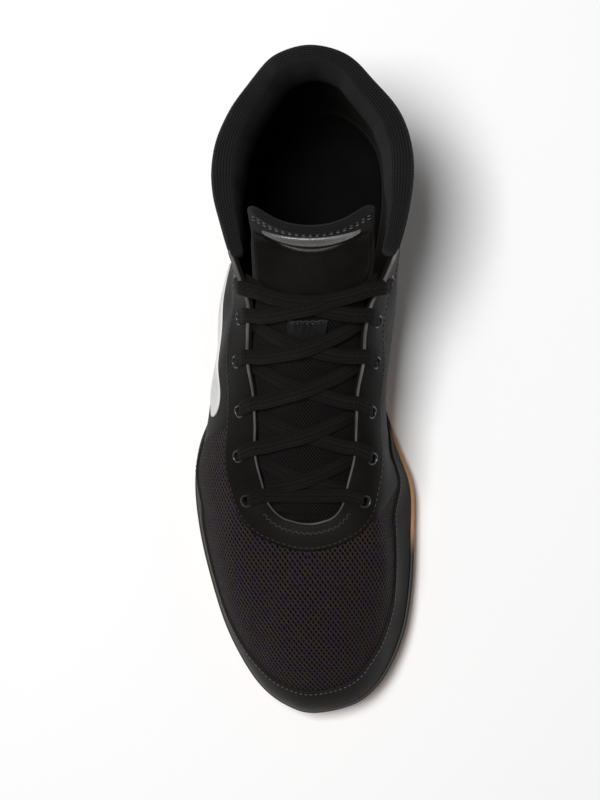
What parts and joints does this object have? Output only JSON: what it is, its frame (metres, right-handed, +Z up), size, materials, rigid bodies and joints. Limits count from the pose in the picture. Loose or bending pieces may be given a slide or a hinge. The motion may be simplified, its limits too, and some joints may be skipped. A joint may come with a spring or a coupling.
{
  "type": "wrestling shoe",
  "caption": "Right wrestling shoe: hollow ankle-high mesh upper with toe guard and eyestay, padded collar cuff and tongue, flat laces, insole and low gum rubber outsole",
  "frame": {"origin": "centre of the bounding box in plan, at the floor under the sole's pads", "axes": "+Z up, -Y towards the toe, +Y towards the heel, +X towards the inner (medial) side of this right shoe"},
  "size_m": [0.1058, 0.295, 0.1308],
  "materials": {
    "gum_rubber": "matte gum rubber",
    "sock_lining": "brushed fabric over foam",
    "black_mesh": "diagonal diamond mesh",
    "guard_film": "smooth synthetic, half matte",
    "eyestay_film": "smooth synthetic, fine grain",
    "white_film": "smooth white film",
    "knit_lining": "matte padded knit",
    "tongue_mesh": "open mesh over foam",
    "label_film": "smooth, half gloss",
    "tab_film": "smooth grey film with a sheen",
    "elastic": "satin elastic",
    "lace_weave": "flat ribbed weave"
  },
  "bodies": {
    "root": {"outsole": "gum_rubber", "insole": "sock_lining", "upper": "black_mesh", "toe_guard": "guard_film", "eyestay": "eyestay_film", "side_band": "white_film", "collar_cuff": "knit_lining", "tongue": "tongue_mesh", "tongue_label": "label_film", "tongue_tab": "tab_film", "lace_garage": "elastic", "laces": "lace_weave"}
  },
  "joints": []
}
